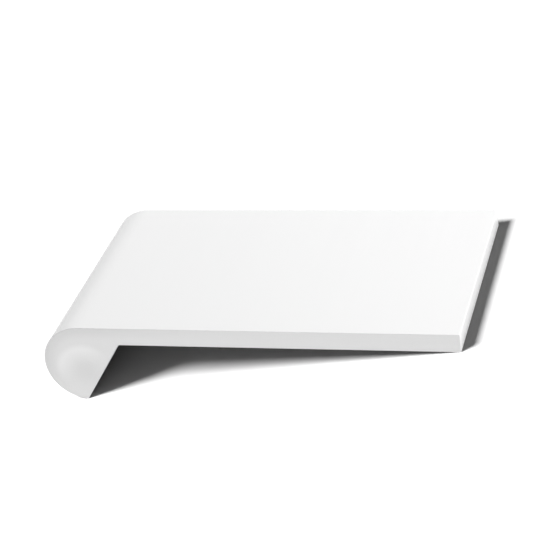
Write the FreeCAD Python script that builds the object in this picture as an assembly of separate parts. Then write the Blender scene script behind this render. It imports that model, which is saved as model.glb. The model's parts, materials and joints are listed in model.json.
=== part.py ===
import FreeCAD
import Part

import math
import os

# A short sawn length of bullnosed window sill board, one piece of foamed PVC.
# Millimetres. The section is drawn in the board's own axes first: x runs from the
# front of the nose to the rear edge and z is height, with the top face at z = 0.
# The finished piece then lies on a level floor as it does unheld, nose down.

# the plate
board_width = 200.0         # front of the nose to the rear edge
plate_thickness = 9.0
rear_edge_radius = 0.3      # on both long edges of the rear edge face

# the nose
nose_depth = 40.0           # top face down to the bottom of the half-round
nose_wrap = 174.0           # degrees of round, from the top face to the tip
back_face_slant = 34.0      # degrees that the nose's back face leans from plumb
tip_radius = 1.0            # where the half-round turns up into the back face
root_radius = 1.5           # hollow corner between the back face and the plate

# along the board
piece_length = 112.0        # between the two saw cuts

half_round_radius = nose_depth / 2
slant = math.radians(back_face_slant)


def at(x, z):
    """A point or a direction in the plane of the section."""
    return FreeCAD.Vector(x, 0, z)


def around_nose(degrees):
    """Direction out of the half-round, counted from the top face round the nose."""
    angle = math.radians(degrees)
    return at(-math.sin(angle), math.cos(angle))


def straight(start, end):
    return Part.LineSegment(start, end).toShape()


def rounded(centre, start, end):
    """The short arc about a centre, between two points of the section."""
    outward = (start - centre) + (end - centre)
    outward.normalize()
    middle = centre + outward * (start - centre).Length
    return Part.Arc(start, middle, end).toShape()


def slope_under(front_centre, front_radius, rear_centre, rear_radius):
    """Slope, in radians, of the line that touches two rounds from below."""
    run = rear_centre - front_centre
    return math.atan2(run.z, run.x) + math.asin((front_radius - rear_radius) / run.Length)


# The half-round leaves the top face on a tangent and ends at the tip, where the
# back face climbs from it to the underside of the plate.
nose_centre = at(half_round_radius, -half_round_radius)
tip_corner = nose_centre + around_nose(nose_wrap) * half_round_radius
up_back_face = at(math.sin(slant), math.cos(slant))
out_of_back_face = at(math.cos(slant), -math.sin(slant))

# The tip's round touches the half-round from inside and the back face.
tip_to_nose_centre = half_round_radius - tip_radius
across = (tip_corner - nose_centre).dot(out_of_back_face) - tip_radius
along = math.sqrt(tip_to_nose_centre ** 2 - across ** 2)
tip_centre = nose_centre + out_of_back_face * across - up_back_face * along
towards_tip = (tip_centre - nose_centre) / tip_to_nose_centre
half_round_end = nose_centre + towards_tip * half_round_radius
back_face_low = tip_centre + out_of_back_face * tip_radius

# The root is where the back face reaches the underside, eased by a hollow.
climb = (-plate_thickness - tip_corner.z) / math.cos(slant)
root_corner = tip_corner + up_back_face * climb
root_ease = root_radius * math.tan((math.pi / 2 - slant) / 2)
back_face_high = root_corner - up_back_face * root_ease
underside_front = root_corner + at(root_ease, 0)
root_centre = underside_front - at(0, root_radius)

# The rear edge is square with both corners rounded.
rear_low_centre = at(board_width - rear_edge_radius, rear_edge_radius - plate_thickness)
rear_high_centre = at(board_width - rear_edge_radius, -rear_edge_radius)
underside_rear = rear_low_centre - at(0, rear_edge_radius)
rear_face_low = rear_low_centre + at(rear_edge_radius, 0)
rear_face_high = rear_high_centre + at(rear_edge_radius, 0)
top_rear = rear_high_centre + at(0, rear_edge_radius)
top_front = nose_centre + around_nose(0) * half_round_radius
nose_front = nose_centre + around_nose(nose_wrap / 2) * half_round_radius


def make_section():
    """The board's cross-section, a face bounded by lines and tangent arcs."""
    outline = [
        straight(top_rear, top_front),
        Part.Arc(top_front, nose_front, half_round_end).toShape(),
        rounded(tip_centre, half_round_end, back_face_low),
        straight(back_face_low, back_face_high),
        rounded(root_centre, back_face_high, underside_front),
        straight(underside_front, underside_rear),
        rounded(rear_low_centre, underside_rear, rear_face_low),
        straight(rear_face_low, rear_face_high),
        rounded(rear_high_centre, rear_face_high, top_rear),
    ]
    return Part.Face(Part.Wire(outline))


def resting_place():
    """Where the board lies on the floor: on its nose and its lower rear edge."""
    slope = slope_under(nose_centre, half_round_radius, rear_low_centre, rear_edge_radius)
    half_round_stop = math.atan2(-towards_tip.x, towards_tip.z) % (2 * math.pi)
    if math.pi + slope > half_round_stop:
        # the half-round stops short of the floor, so the tip's round touches it
        slope = slope_under(tip_centre, tip_radius, rear_low_centre, rear_edge_radius)
    tilt = FreeCAD.Rotation(FreeCAD.Vector(0, 1, 0), math.degrees(slope))
    front = tilt.multVec(nose_centre).x - half_round_radius
    rear = tilt.multVec(rear_high_centre).x + rear_edge_radius
    floor = tilt.multVec(rear_low_centre).z - rear_edge_radius
    shift = FreeCAD.Vector(-(front + rear) / 2, -piece_length / 2, -floor)
    return FreeCAD.Placement(shift, tilt)


def make_sill_board():
    board = make_section().extrude(FreeCAD.Vector(0, piece_length, 0))
    board.Placement = resting_place()
    return board


sill_board = make_sill_board()
os.makedirs("parts", exist_ok=True)
sill_board.exportStep("parts/sill_board.step")

box = sill_board.optimalBoundingBox()
print("sill_board valid", sill_board.isValid(), "solids", len(sill_board.Solids))
print("box x %.2f to %.2f, y %.2f to %.2f" % (box.XMin, box.XMax, box.YMin, box.YMax))
print("box z %.3f to %.2f, volume %.1f cm3" % (box.ZMin, box.ZMax, sill_board.Volume / 1000))
print("lies at %.2f degrees" % math.degrees(resting_place().Rotation.Angle))
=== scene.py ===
import json
import math

import bpy
import numpy as np
from mathutils import Matrix, Vector
from mathutils.geometry import delaunay_2d_cdt

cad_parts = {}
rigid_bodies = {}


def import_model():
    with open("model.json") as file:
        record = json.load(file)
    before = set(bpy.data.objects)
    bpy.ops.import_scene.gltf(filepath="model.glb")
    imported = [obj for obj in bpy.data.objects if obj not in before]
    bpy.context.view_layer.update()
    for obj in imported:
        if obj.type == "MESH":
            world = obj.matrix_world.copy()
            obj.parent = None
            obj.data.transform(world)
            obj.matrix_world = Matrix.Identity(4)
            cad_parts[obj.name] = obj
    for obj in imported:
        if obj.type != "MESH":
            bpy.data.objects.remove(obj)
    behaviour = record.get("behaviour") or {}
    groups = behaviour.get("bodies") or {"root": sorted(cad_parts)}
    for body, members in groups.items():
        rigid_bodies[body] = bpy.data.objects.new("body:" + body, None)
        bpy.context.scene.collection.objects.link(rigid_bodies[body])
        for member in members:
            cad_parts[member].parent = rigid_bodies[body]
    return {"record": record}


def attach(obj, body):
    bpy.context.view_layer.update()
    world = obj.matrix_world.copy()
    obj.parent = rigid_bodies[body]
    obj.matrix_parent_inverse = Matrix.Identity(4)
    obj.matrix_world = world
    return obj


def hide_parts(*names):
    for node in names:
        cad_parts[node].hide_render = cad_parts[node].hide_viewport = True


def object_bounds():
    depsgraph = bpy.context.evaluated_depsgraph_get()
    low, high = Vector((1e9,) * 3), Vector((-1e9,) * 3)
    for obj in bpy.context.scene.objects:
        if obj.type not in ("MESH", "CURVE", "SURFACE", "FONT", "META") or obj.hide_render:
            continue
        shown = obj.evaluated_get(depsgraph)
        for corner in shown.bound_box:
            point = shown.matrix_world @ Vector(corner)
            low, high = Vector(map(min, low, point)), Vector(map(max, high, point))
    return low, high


for thing in list(bpy.data.objects):   # start from an empty scene
    bpy.data.objects.remove(thing)
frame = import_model()
cadLow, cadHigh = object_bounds()
mm = 0.001
print("frame loaded, the board's box is", [round(v, 4) for v in cadHigh - cadLow])

# The section and the length that the frame has, in millimetres and degrees.
board = {
    "width": 200.0,         # front of the nose to the rear edge
    "plateThickness": 9.0,
    "noseDepth": 40.0,      # top face to the bottom of the half-round
    "noseWrap": 174.0,      # degrees of round from the top face to the tip
    "backFaceSlant": 34.0,  # how far the nose's back face leans from plumb
    "tipRadius": 1.0,
    "rootRadius": 1.5,
    "rearEdgeRadius": 0.3,
    "length": 112.0,        # between the two saw cuts
    "pointSpacing": 0.85,   # between points on the flats
    "arcStep": 3.0,         # degrees between points on the half-round
    "tipAndRootSteps": 6,   # flats that make up each of these small rounds
    "rearEdgeSteps": 5,
    "cornerAngle": 30.0,    # an edge that bends more than this stays crisp
    "closeEnough": 0.01,    # points nearer than this are one
}

# What the saw leaves at both ends, in millimetres.
sawCut = {
    "brokenEdge": 0.16,     # the sharp corner round the cut, just taken off
    "grain": 0.85,          # spacing of the points that carry the relief
    "grainMargin": 0.6,     # how near the skin such a point may lie, in spacings
    "markPitch": 3.4,       # between one mark of the blade and the next
    "markDepth": 0.012,
    "bladeAcross": 150.0,   # the blade's middle over the board, which the marks go round
    "bladeHeight": 110.0,
    "cellSize": 1.3,
    "cellDepth": 0.03,
    "cellDetail": 2.0,      # how broken the cells' outlines are
    "cellRange": (0.35, 0.7),  # noise at which a cell opens, and where it is deepest
    "solidRim": 0.3,        # the outside of the skin, which the saw leaves smooth
    "skinDepth": 1.3,       # and how far in the relief has its full depth
    "nearSeed": 3.0,
    "farSeed": 11.0,
}


def mountNamed(name):
    return next(m for m in frame["record"]["mounts"] if m["name"] == name)


# The board's own axes in the frame: x to the rear edge, y along, z out of the top face.
def boardAxes():
    across = Vector(mountNamed("rear_edge")["axis"])
    up = -Vector(mountNamed("bed_face")["axis"])
    along = up.cross(across)
    corner = Vector(mountNamed("rear_edge")["pos_m"])
    corner -= across * board["width"] * mm
    corner += up * board["plateThickness"] / 2 * mm
    corner -= along * board["length"] / 2 * mm
    turned = Matrix((across, along, up)).transposed().to_4x4()
    return Matrix.Translation(corner) @ turned


boardToFrame = boardAxes()


def unit(angle):
    return Vector((math.cos(angle), math.sin(angle)))


# Points round the section with the way out of the board at each, anticlockwise from
# the near end: half-round, tip, root, and the two rounds of the rear edge.
def sectionOutline():
    radius = board["noseDepth"] / 2
    tip, rearRound = board["tipRadius"], board["rearEdgeRadius"]
    slant, wrap = math.radians(board["backFaceSlant"]), math.radians(board["noseWrap"])
    climb, out = Vector((math.sin(slant), math.cos(slant))), unit(-slant)
    noseCentre = Vector((radius, -radius))
    tipCorner = noseCentre + unit(math.pi / 2 + wrap) * radius
    across = (tipCorner - noseCentre).dot(out) - tip
    down = math.sqrt((radius - tip) ** 2 - across ** 2)
    tipCentre = noseCentre + out * across - climb * down
    tipAngle = math.atan2(*(tipCentre - noseCentre).yx)
    root = tipCorner + climb * (-board["plateThickness"] - tipCorner.y) / math.cos(slant)
    ease = board["rootRadius"] * math.tan((math.pi / 2 - slant) / 2)
    rearX = board["width"] - rearRound
    quarter = math.pi / 2
    rounds = [
        # centre, radius, first angle, last angle, steps
        (noseCentre, radius, quarter, tipAngle + 2 * math.pi,
         round(board["noseWrap"] / board["arcStep"])),
        (tipCentre, tip, tipAngle, -slant, board["tipAndRootSteps"]),
        (root + Vector((ease, -board["rootRadius"])), -board["rootRadius"],
         -slant, -quarter, board["tipAndRootSteps"]),
        (Vector((rearX, rearRound - board["plateThickness"])), rearRound,
         -quarter, 0, board["rearEdgeSteps"]),
        (Vector((rearX, -rearRound)), rearRound, 0, quarter, board["rearEdgeSteps"]),
    ]
    outline = []
    for centre, size, first, last, steps in rounds:
        outwards = [unit(first + (last - first) * k / steps) for k in range(steps + 1)]
        arc = [(centre + outward * size, outward) for outward in outwards]
        if outline:
            outline += flatPoints(outline.pop(), arc[0])
        outline += arc
    return outline[:-1] + flatPoints(outline[-1], outline[0])


# From one point up to the next one, which is left out.
def flatPoints(start, end):
    run = (end[0] - start[0]).length
    if run < board["closeEnough"]:
        return []
    count = max(1, round(run / board["pointSpacing"]))
    return [(start[0].lerp(end[0], k / count), start[1]) for k in range(count)]


outline = sectionOutline()
print("section outline has", len(outline), "points")


# How far each of these points of the section lies under the skin.
def depthUnderSkin(points):
    starts = np.array([p for p, _ in outline])
    runs = np.roll(starts, -1, axis=0) - starts
    gap = np.array(points)[:, None, :] - starts[None, :, :]
    share = (gap * runs).sum(2) / (runs * runs).sum(1)
    nearest = gap - np.clip(share, 0, 1)[:, :, None] * runs
    return np.sqrt((nearest ** 2).sum(2)).min(1)


# Points in rows across the section, each row set half a step along from the last.
def grainPoints():
    step = sawCut["grain"]
    rowStep = step * math.sqrt(3) / 2
    points = []
    for row in range(int(board["noseDepth"] / rowStep) + 1):
        shift = step / 2 if row % 2 else 0.0
        for column in range(int(board["width"] / step) + 1):
            points.append((column * step + shift, -row * rowStep))
    return points


def insideSection(points):
    loop = np.array([p for p, _ in outline])
    ahead = np.roll(loop, -1, axis=0)
    x, z = np.array(points).T
    crossings = np.zeros(len(points), int)
    for (x0, z0), (x1, z1) in zip(loop, ahead):
        if z0 == z1:
            continue
        spans = (z0 > z) != (z1 > z)
        crossings += spans & (x < x0 + (z - z0) * (x1 - x0) / (z1 - z0))
    return crossings % 2 == 1


# The near cut: a narrow chamfer from the skin, then a flat of even triangles.
def makeCutFace():
    edge = sawCut["brokenEdge"]
    skinRing = [p for p, _ in outline]
    cutRing = [p - outward * edge for p, outward in outline]
    candidates = grainPoints()
    margin = sawCut["grain"] * sawCut["grainMargin"]
    keep = insideSection(candidates) & (depthUnderSkin(candidates) > margin)
    inner = [Vector(p) for p, kept in zip(candidates, keep) if kept]
    count = len(outline)
    loop = [(k, (k + 1) % count) for k in range(count)]
    onlyInside, tolerance = 1, 1e-6   # keep the triangles that the loop holds
    flat, _, triangles, *_ = delaunay_2d_cdt(cutRing + inner, loop, [], onlyInside, tolerance)
    places = [(p.x, edge, p.y) for p in skinRing] + [(p.x, 0.0, p.y) for p in flat]
    faces = [(a, b, count + b, count + a) for a, b in loop]
    faces += [tuple(count + v for v in t) for t in triangles]
    mesh = bpy.data.meshes.new("cutFace")
    mesh.from_pydata([Vector(p) * mm for p in places], [], faces)
    depth = mesh.attributes.new("skinDepth", "FLOAT", "POINT")
    values = np.zeros(len(places), np.float32)
    values[count:] = depthUnderSkin([tuple(p) for p in flat])
    depth.data.foreach_set("value", values)
    return mesh


cutMesh = makeCutFace()
print("cut face:", len(cutMesh.vertices), "points,", len(cutMesh.polygons), "faces")


# Small helpers for the node trees.
def addNode(tree, kind, links=(), **settings):
    node = tree.nodes.new(kind)
    for name, value in settings.items():
        setattr(node, name, value)
    for name, source in dict(links).items():
        socket = node.inputs[name]
        if isinstance(source, bpy.types.NodeSocket):
            tree.links.new(source, socket)
        else:
            socket.default_value = source
    return node


def doMath(tree, operation, *values):
    return addNode(tree, "ShaderNodeMath", dict(enumerate(values)), operation=operation).outputs[0]


def ramp(tree, value, fromMin, fromMax, toMin=0.0, toMax=1.0, style="SMOOTHSTEP"):
    links = {"Value": value, "From Min": fromMin, "From Max": fromMax, "To Min": toMin, "To Max": toMax}
    return addNode(tree, "ShaderNodeMapRange", links, interpolation_type=style).outputs["Result"]


def lengthOf(tree, across, up):
    squares = doMath(tree, "MULTIPLY_ADD", across, across, doMath(tree, "MULTIPLY", up, up))
    return doMath(tree, "SQRT", squares)


# How deep the saw and the open cells go at each point of a cut.
def cutRelief(tree, sizes, seed):
    place = addNode(tree, "GeometryNodeInputPosition").outputs[0]
    parts = addNode(tree, "ShaderNodeSeparateXYZ", {0: place})
    across = doMath(tree, "SUBTRACT", parts.outputs["X"], sizes["Blade Across"])
    height = doMath(tree, "SUBTRACT", parts.outputs["Z"], sizes["Blade Height"])
    turns = doMath(tree, "DIVIDE", lengthOf(tree, across, height), sizes["Mark Pitch"])
    wave = doMath(tree, "SINE", doMath(tree, "MULTIPLY", turns, 2 * math.pi))
    marks = doMath(tree, "MULTIPLY", ramp(tree, wave, -1.0, 1.0, style="LINEAR"), sizes["Mark Depth"])
    fineness = doMath(tree, "DIVIDE", 1.0, sizes["Cell Size"])
    cellLinks = {"Vector": place, "Scale": fineness, "W": seed, "Detail": sawCut["cellDetail"]}
    cells = addNode(tree, "ShaderNodeTexNoise", cellLinks, noise_dimensions="4D").outputs[0]
    pits = doMath(tree, "MULTIPLY", ramp(tree, cells, *sawCut["cellRange"]), sizes["Cell Depth"])
    depth = addNode(tree, "GeometryNodeInputNamedAttribute", {"Name": "skinDepth"}, data_type="FLOAT")
    rimDepth = doMath(tree, "MULTIPLY", sizes["Solid Rim"], 1 / mm)
    fullDepth = doMath(tree, "MULTIPLY", sizes["Skin Depth"], 1 / mm)
    core = ramp(tree, depth.outputs[0], rimDepth, fullDepth)
    return doMath(tree, "MULTIPLY", doMath(tree, "ADD", marks, pits), core)


def pushed(tree, shape, along):
    offset = addNode(tree, "ShaderNodeCombineXYZ", {"Y": along}).outputs[0]
    return addNode(tree, "GeometryNodeSetPosition", {"Geometry": shape, "Offset": offset}).outputs[0]


# One cut face in, a whole sawn length out: both ends with their relief, and the skin.
def sawnLengthTree():
    tree = bpy.data.node_groups.new("sawnLength", "GeometryNodeTree")
    tree.interface.new_socket("Geometry", in_out="INPUT", socket_type="NodeSocketGeometry")
    lengths = ("Piece Length", "Broken Edge", "Mark Pitch", "Mark Depth", "Blade Across", "Blade Height",
               "Cell Size", "Cell Depth", "Solid Rim", "Skin Depth", "Merge Distance")
    for name in lengths + ("Corner Angle", "Near Seed", "Far Seed"):
        tree.interface.new_socket(name, in_out="INPUT", socket_type="NodeSocketFloat")
    for name in ("Skin Finish", "Sawn Finish"):
        tree.interface.new_socket(name, in_out="INPUT", socket_type="NodeSocketMaterial")
    tree.interface.new_socket("Geometry", in_out="OUTPUT", socket_type="NodeSocketGeometry")
    sizes = tree.nodes.new("NodeGroupInput").outputs
    cut = addNode(tree, "GeometryNodeStoreNamedAttribute", {"Geometry": sizes["Geometry"], "Name": "sawn",
                  "Value": True}, data_type="BOOLEAN", domain="FACE").outputs[0]
    nearDepth = cutRelief(tree, sizes, sizes["Near Seed"])
    nearEnd = pushed(tree, cut, nearDepth)
    shift = addNode(tree, "ShaderNodeCombineXYZ", {"Y": sizes["Piece Length"]}).outputs[0]
    mirrored = addNode(tree, "GeometryNodeTransform", {"Geometry": cut, "Translation": shift,
                       "Scale": (1.0, -1.0, 1.0)}).outputs[0]
    farShape = addNode(tree, "GeometryNodeFlipFaces", {"Mesh": mirrored}).outputs[0]
    farDepth = cutRelief(tree, sizes, sizes["Far Seed"])
    farEnd = pushed(tree, farShape, doMath(tree, "MULTIPLY", farDepth, -1.0))
    # the skin stops short of both cuts by the broken edge
    skinLength = doMath(tree, "MULTIPLY_ADD", sizes["Broken Edge"], -2.0, sizes["Piece Length"])
    skinRun = addNode(tree, "ShaderNodeCombineXYZ", {"Y": skinLength}).outputs[0]
    neighbours = addNode(tree, "GeometryNodeInputMeshEdgeNeighbors").outputs[0]
    rim = addNode(tree, "FunctionNodeCompare", {"A": neighbours, "B": 1}, data_type="INT",
                  operation="EQUAL").outputs[0]
    drawn = addNode(tree, "GeometryNodeExtrudeMesh", {"Mesh": sizes["Geometry"], "Selection": rim,
                    "Offset": skinRun, "Offset Scale": 1.0}, mode="EDGES")
    sides = addNode(tree, "GeometryNodeSeparateGeometry", {"Geometry": drawn.outputs["Mesh"],
                    "Selection": drawn.outputs["Side"]}, domain="FACE").outputs[0]
    together = addNode(tree, "GeometryNodeJoinGeometry")
    for part in (nearEnd, sides, farEnd):
        tree.links.new(part, together.inputs[0])
    closed = addNode(tree, "GeometryNodeMergeByDistance", {"Geometry": together.outputs[0],
                     "Distance": sizes["Merge Distance"]}).outputs[0]
    smooth = addNode(tree, "GeometryNodeSetShadeSmooth", {"Geometry": closed, "Shade Smooth": True},
                     domain="FACE").outputs[0]
    bend = addNode(tree, "GeometryNodeInputMeshEdgeAngle").outputs[0]
    corner = addNode(tree, "FunctionNodeCompare", {"A": bend, "B": sizes["Corner Angle"]},
                     data_type="FLOAT", operation="GREATER_THAN").outputs[0]
    crisp = addNode(tree, "GeometryNodeSetShadeSmooth", {"Geometry": smooth, "Selection": corner,
                    "Shade Smooth": False}, domain="EDGE").outputs[0]
    place = addNode(tree, "GeometryNodeInputPosition").outputs[0]
    inMillimetres = addNode(tree, "ShaderNodeVectorMath", {"Vector": place, "Scale": 1 / mm},
                            operation="SCALE").outputs[0]
    placed = addNode(tree, "GeometryNodeStoreNamedAttribute", {"Geometry": crisp, "Name": "boardPlace",
                     "Value": inMillimetres}, data_type="FLOAT_VECTOR", domain="POINT").outputs[0]
    real = addNode(tree, "GeometryNodeRealizeInstances", {"Geometry": placed}).outputs[0]
    skinned = addNode(tree, "GeometryNodeSetMaterial", {"Geometry": real,
                      "Material": sizes["Skin Finish"]}).outputs[0]
    sawn = addNode(tree, "GeometryNodeInputNamedAttribute", {"Name": "sawn"},
                   data_type="BOOLEAN").outputs[0]
    finished = addNode(tree, "GeometryNodeSetMaterial", {"Geometry": skinned, "Selection": sawn,
                       "Material": sizes["Sawn Finish"]}).outputs[0]
    tree.links.new(finished, tree.nodes.new("NodeGroupOutput").inputs[0])
    return tree


# The two finishes of the one white plastic, with sizes in millimetres.
refraction = 1.53            # the plastic's index, the same for both

skin = {
    "colour": 0.87,
    "roughness": 0.40,
    "roughnessDrift": 0.06,  # how much it wanders from streak to streak
    "streakWidth": 2.2,      # faint lines that the die leaves along the board
    "streakLength": 160.0,
    "streakDepth": 0.004,
    "streakDetail": 4.0,
    "streakRange": (0.3, 0.7),  # noise at which the roughness is lowest and highest
    "peelSize": 1.6,         # the slight orange peel of a foamed skin
    "peelDepth": 0.002,
    "peelDetail": 2.0,
}

sawnFace = {
    "colour": 0.80,          # cut foam, between the rim and the middle of the nose
    "skinShade": 0.985,      # how much darker the cut skin is
    "skinDepth": 1.5,        # and how far in that reaches
    "cellSize": 0.45,
    "cellDepth": 0.03,
    # how much darker the cells' sunken middles are painted: painted shade in their hollows
    "paintedCellShade": 0.985,
    "cellWall": (0.1, 0.6),  # a cell's middle and its wall, in cell sizes
    "roughness": 0.85,
}

# Painted light and shade on the nose's sawn end: painted shade over the middle, a painted highlight in a
# crescent round the upper front of that, and painted shade again under the skin, darkest up and to the
# front.
paintedNoseLight = {
    "middle": (20.0, -24.0),
    "paintedMiddleShade": 0.935,
    "middleWidth": 0.5,      # nearer to the middle than this, its sides fade out
    "paintedHighlight": 1.10,
    "crescentRadius": 12.2,
    "crescentInside": 8.0,   # how far it fades towards the middle
    "crescentOutside": 4.0,  # and towards the skin
    "crescentFacing": 28.0,  # degrees round the nose from its top
    "crescentSides": (-0.1, 1.0),  # cosines off that facing, where it ends and is full
    "paintedOuterShade": 0.895,
    "outerWidth": 7.5,
    "outerSides": (-0.6, 0.9),  # the same for this darker band
}


def plainGrey(value):
    return (value, value, value, 1.0)


def newMaterial(name, colour):
    material = bpy.data.materials.new(name)
    material.use_nodes = True
    material.diffuse_color = plainGrey(colour)
    return material, material.node_tree, material.node_tree.nodes["Principled BSDF"].inputs


def onBoard(tree, stretch):
    place = addNode(tree, "ShaderNodeAttribute", attribute_name="boardPlace").outputs["Vector"]
    return addNode(tree, "ShaderNodeVectorMath", {0: place, 1: stretch}, operation="MULTIPLY").outputs[0]


def greySocket(tree, value):
    return addNode(tree, "ShaderNodeCombineColor", {0: value, 1: value, 2: value}).outputs[0]


def bump(tree, height, depth, below=None):
    links = {"Height": height, "Distance": depth * mm, "Strength": 1.0}
    if below:
        links["Normal"] = below
    return addNode(tree, "ShaderNodeBump", links).outputs[0]


def satinSkin():
    material, tree, surface = newMaterial("satinSkin", skin["colour"])
    width, length, peel = skin["streakWidth"], skin["streakLength"], skin["peelSize"]
    alongBoard = onBoard(tree, (1 / width, 1 / length, 1 / width))
    evenly = onBoard(tree, (1 / peel, 1 / peel, 1 / peel))
    streaks = addNode(tree, "ShaderNodeTexNoise", {"Vector": alongBoard, "Scale": 1.0,
                      "Detail": skin["streakDetail"]}).outputs[0]
    pebbles = addNode(tree, "ShaderNodeTexNoise", {"Vector": evenly, "Scale": 1.0,
                      "Detail": skin["peelDetail"]}).outputs[0]
    lowest = skin["roughness"] - skin["roughnessDrift"]
    highest = skin["roughness"] + skin["roughnessDrift"]
    roughness = ramp(tree, streaks, *skin["streakRange"], lowest, highest, "LINEAR")
    tree.links.new(roughness, surface["Roughness"])
    surface["Base Color"].default_value = plainGrey(skin["colour"])
    surface["IOR"].default_value = refraction
    lines = bump(tree, streaks, skin["streakDepth"])
    tree.links.new(bump(tree, pebbles, skin["peelDepth"], lines), surface["Normal"])
    return material


# The painted shade and painted highlight on the cut in and near the nose: how much darker or paler it is
# than its usual colour.
def paintedNoseShading(tree, place):
    parts = addNode(tree, "ShaderNodeSeparateXYZ", {0: place}).outputs
    middle, reach = paintedNoseLight["middle"], paintedNoseLight["crescentRadius"]
    across = doMath(tree, "SUBTRACT", parts["X"], middle[0])
    up = doMath(tree, "SUBTRACT", parts["Z"], middle[1])
    away = lengthOf(tree, across, up)
    facing = unit(math.radians(90 + paintedNoseLight["crescentFacing"]))
    along = doMath(tree, "MULTIPLY_ADD", across, facing.x, doMath(tree, "MULTIPLY", up, facing.y))
    side = doMath(tree, "DIVIDE", along, doMath(tree, "MAXIMUM", away, paintedNoseLight["middleWidth"]))
    inside = ramp(tree, away, reach - paintedNoseLight["crescentInside"], reach, style="LINEAR")
    outside = ramp(tree, away, reach, reach + paintedNoseLight["crescentOutside"], 1.0, 0.0)
    ring = doMath(tree, "MULTIPLY", inside, outside)
    crescent = doMath(tree, "MULTIPLY", ring, ramp(tree, side, *paintedNoseLight["crescentSides"]))
    tone = doMath(tree, "MULTIPLY_ADD", crescent, paintedNoseLight["paintedHighlight"] - 1, 1.0)
    tone = doMath(tree, "MULTIPLY", tone, ramp(tree, away, 0.0, reach, paintedNoseLight["paintedMiddleShade"], 1.0))
    radius = board["noseDepth"] / 2
    ahead = doMath(tree, "MINIMUM", doMath(tree, "SUBTRACT", parts["X"], radius), 0.0)
    fromCore = lengthOf(tree, ahead, doMath(tree, "ADD", parts["Z"], radius))
    outer = ramp(tree, fromCore, radius - paintedNoseLight["outerWidth"], radius, 0.0, paintedNoseLight["paintedOuterShade"] - 1)
    outer = doMath(tree, "MULTIPLY", outer, ramp(tree, side, *paintedNoseLight["outerSides"]))
    return doMath(tree, "MULTIPLY", tone, doMath(tree, "ADD", outer, 1.0))


def sawnFoam():
    material, tree, surface = newMaterial("sawnFoam", sawnFace["colour"])
    place = onBoard(tree, (1.0, 1.0, 1.0))
    depth = addNode(tree, "ShaderNodeAttribute", attribute_name="skinDepth").outputs["Fac"]
    tone = ramp(tree, depth, 0.0, sawnFace["skinDepth"], sawnFace["skinShade"], 1.0)
    # the nose's painted shade and painted highlight go into the cut's colour here
    tone = doMath(tree, "MULTIPLY", tone, paintedNoseShading(tree, place))
    cells = addNode(tree, "ShaderNodeTexVoronoi", {"Vector": place, "Scale": 1 / sawnFace["cellSize"]})
    pits = ramp(tree, cells.outputs["Distance"], *sawnFace["cellWall"])
    # painted shade in the cells' middles, which the bump below sinks
    tone = doMath(tree, "MULTIPLY", tone, ramp(tree, pits, 0.0, 1.0, sawnFace["paintedCellShade"], 1.0))
    tone = doMath(tree, "MULTIPLY", tone, sawnFace["colour"])
    tree.links.new(greySocket(tree, tone), surface["Base Color"])
    surface["Roughness"].default_value = sawnFace["roughness"]
    surface["IOR"].default_value = refraction
    tree.links.new(bump(tree, pits, sawnFace["cellDepth"]), surface["Normal"])
    return material


def makeBoard():
    skinFinish = satinSkin()
    cutMesh.materials.append(skinFinish)
    piece = bpy.data.objects.new("sillBoard", cutMesh)
    bpy.context.scene.collection.objects.link(piece)
    tree = sawnLengthTree()
    values = {
        "Piece Length": board["length"] * mm,
        "Broken Edge": sawCut["brokenEdge"] * mm,
        "Mark Pitch": sawCut["markPitch"] * mm,
        "Mark Depth": sawCut["markDepth"] * mm,
        "Blade Across": sawCut["bladeAcross"] * mm,
        "Blade Height": sawCut["bladeHeight"] * mm,
        "Cell Size": sawCut["cellSize"] * mm,
        "Cell Depth": sawCut["cellDepth"] * mm,
        "Solid Rim": sawCut["solidRim"] * mm,
        "Skin Depth": sawCut["skinDepth"] * mm,
        "Merge Distance": board["closeEnough"] * mm,
        "Corner Angle": math.radians(board["cornerAngle"]),
        "Near Seed": sawCut["nearSeed"],
        "Far Seed": sawCut["farSeed"],
        "Skin Finish": skinFinish,
        "Sawn Finish": sawnFoam(),
    }
    modifier = piece.modifiers.new("sawnLength", "NODES")
    modifier.node_group = tree
    for socket in tree.interface.items_tree:
        if socket.in_out == "INPUT" and socket.name in values:
            modifier[socket.identifier] = values[socket.name]
    evaluated = piece.evaluated_get(bpy.context.evaluated_depsgraph_get())
    shape = bpy.data.meshes.new_from_object(evaluated)
    piece.modifiers.remove(modifier)
    shape.transform(boardToFrame)
    piece.data = shape
    return piece


sillBoard = makeBoard()
print("sill board has", len(sillBoard.data.vertices), "points and", len(sillBoard.data.polygons), "faces")
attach(sillBoard, "root")
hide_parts("sill_board")


# Studio: a white floor that keeps the shadow, soft lamps, a plain white world.
studio = {
    "floorWidth": 6.0,
    "floorColour": 0.2,      # white once its own lamp lights it
    "worldFill": 0.5,        # how strongly it lights things
    "worldSeen": 1.0,        # white to the camera and in reflections
}

# Lamps round the board: degrees from its near end towards the rear edge, degrees up,
# metres away, metres across, watts.
lamps = {
    "keyLamp": (-45.0, 38.0, 1.1, 0.7, 0.7),
    "sideLamp": (95.0, 28.0, 1.2, 0.7, 8.5),
    "rearLamp": (160.0, 45.0, 1.0, 0.8, 1.6),
    "glossLamp": (-160.0, 20.0, 1.2, 0.7, 1.0),
    "noseLamp": (-130.0, 20.0, 1.2, 0.7, 0.5),
}

# A far lamp that falls on the floor alone and gives the board its shadow there.
shadowLamp = {
    "side": -50.0,
    "up": 50.0,
    "away": 6.0,
    "brightness": 22.6,
    "softness": 24.0,        # degrees across
}

# The camera in the board's own axes, millimetres and degrees.
viewpoint = {
    "place": (352.993, -685.207, 448.383),
    "turn": 18.772,          # to the left of straight along the board
    "downward": 30.033,
    "roll": -9.111,
    "lens": 123.907,
    "clipStart": 0.05,       # metres
}


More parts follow.
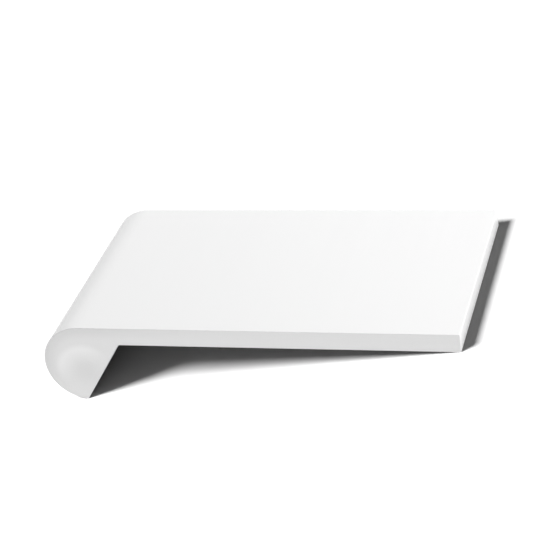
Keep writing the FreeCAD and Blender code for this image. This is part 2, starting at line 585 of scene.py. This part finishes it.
def seenByCamera(tree):
    path = addNode(tree, "ShaderNodeLightPath").outputs
    mirrored = doMath(tree, "MAXIMUM", path["Is Glossy Ray"], path["Is Transmission Ray"])
    return doMath(tree, "MAXIMUM", path["Is Camera Ray"], mirrored)


def makeFloor():
    half = studio["floorWidth"] / 2
    mesh = bpy.data.meshes.new("floor")
    corners = [(-half, -half, 0), (half, -half, 0), (half, half, 0), (-half, half, 0)]
    mesh.from_pydata(corners, [], [(0, 1, 2, 3)])
    floor = bpy.data.objects.new("floor", mesh)
    bpy.context.scene.collection.objects.link(floor)
    material = bpy.data.materials.new("whiteFloor")
    material.use_nodes = True
    tree = material.node_tree
    tree.nodes.clear()
    matt = addNode(tree, "ShaderNodeBsdfDiffuse", {"Color": plainGrey(studio["floorColour"])})
    tree.links.new(matt.outputs[0], tree.nodes.new("ShaderNodeOutputMaterial").inputs[0])
    mesh.materials.append(material)
    return floor


def makeWorld():
    world = bpy.data.worlds.new("whiteStudio")
    world.use_nodes = True
    tree = world.node_tree
    glow = tree.nodes["Background"]
    glow.inputs["Color"].default_value = plainGrey(1.0)
    seen = seenByCamera(tree)
    strength = ramp(tree, seen, 0.0, 1.0, studio["worldFill"], studio["worldSeen"], "LINEAR")
    tree.links.new(strength, glow.inputs["Strength"])
    bpy.context.scene.world = world


def fromSide(side, up):
    side, up = math.radians(side), math.radians(up)
    level = math.cos(up)
    return Vector((level * math.sin(side), -level * math.cos(side), math.sin(up)))


# A lamp lights only the thing it is given, though everything shades it.
def placeLamp(name, light, direction, away, lit):
    lamp = bpy.data.objects.new(name, light)
    bpy.context.scene.collection.objects.link(lamp)
    lamp.location = (cadLow + cadHigh) / 2 + direction * away
    lamp.rotation_euler = direction.to_track_quat("Z", "Y").to_euler()
    receivers = bpy.data.collections.new(name + "Lights")
    receivers.objects.link(lit)
    lamp.light_linking.receiver_collection = receivers


def placeSoftLamp(name, side, up, away, across, power):
    light = bpy.data.lights.new(name, "AREA")
    light.size = across
    light.energy = power
    placeLamp(name, light, fromSide(side, up), away, sillBoard)


def placeShadowLamp():
    light = bpy.data.lights.new("shadowLamp", "SUN")
    light.energy = shadowLamp["brightness"]
    light.angle = math.radians(shadowLamp["softness"])
    direction = fromSide(shadowLamp["side"], shadowLamp["up"])
    placeLamp("shadowLamp", light, direction, shadowLamp["away"], floor)


def placeCamera():
    data = bpy.data.cameras.new("camera")
    data.lens = viewpoint["lens"]
    data.clip_start = viewpoint["clipStart"]
    camera = bpy.data.objects.new("camera", data)
    bpy.context.scene.collection.objects.link(camera)
    turned = Matrix.Rotation(math.radians(viewpoint["turn"]), 4, "Z")
    turned @= Matrix.Rotation(math.radians(90 - viewpoint["downward"]), 4, "X")
    turned @= Matrix.Rotation(math.radians(viewpoint["roll"]), 4, "Z")
    camera.matrix_world = boardToFrame @ Matrix.Translation(Vector(viewpoint["place"]) * mm) @ turned
    bpy.context.scene.camera = camera


floor = makeFloor()
makeWorld()
for name, settings in lamps.items():
    placeSoftLamp(name, *settings)
placeShadowLamp()
placeCamera()
bpy.context.scene.view_settings.view_transform = "Standard"
print("studio is set")
